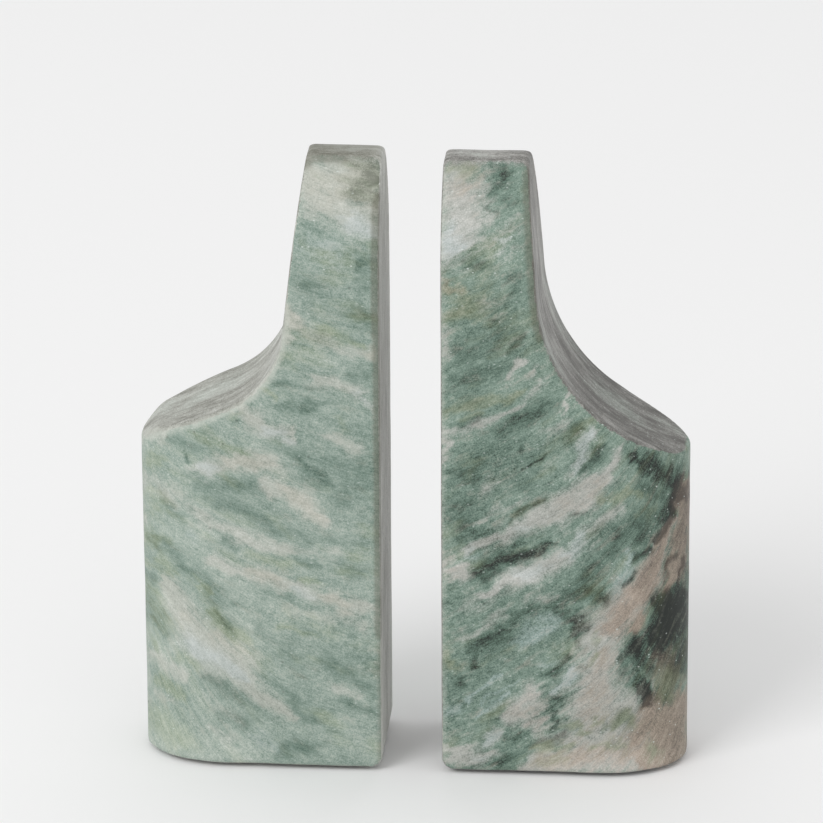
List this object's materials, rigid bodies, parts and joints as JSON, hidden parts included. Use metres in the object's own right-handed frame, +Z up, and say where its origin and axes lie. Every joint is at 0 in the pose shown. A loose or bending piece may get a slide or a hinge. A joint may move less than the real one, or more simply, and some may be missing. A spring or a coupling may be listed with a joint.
{
  "type": "book ends",
  "caption": "Pair of solid marble book ends with a flat book face, a thin upright neck, a hollow swoop and a broad sloping shoulder, standing on felt discs; the pair slides apart for the books.",
  "frame": {"origin": "on the table, under the middle of the pair's box at rest", "axes": "+X from the left book end to the right one, across the row of books; +Y from the front face to the back face; +Z up"},
  "size_m": [0.1294, 0.031, 0.151],
  "materials": {
    "marble_left": "honed green marble with whitish veins that fall to the right",
    "marble_right": "honed green marble with pinkish-white veins that rise to the right",
    "felt": "dense dark felt"
  },
  "bodies": {
    "left_book_end": {"left_block": "marble_left", "left_pad_inner_front": "felt", "left_pad_inner_back": "felt", "left_pad_outer_front": "felt", "left_pad_outer_back": "felt"},
    "right_book_end": {"right_block": "marble_right", "right_pad_inner_front": "felt", "right_pad_inner_back": "felt", "right_pad_outer_front": "felt", "right_pad_outer_back": "felt"}
  },
  "joints": [
    {"name": "book_gap", "type": "slide", "parent": "left_book_end", "child": "right_book_end", "axis": [1, 0, 0], "range_m": [-0.013, 0.286]}
  ]
}
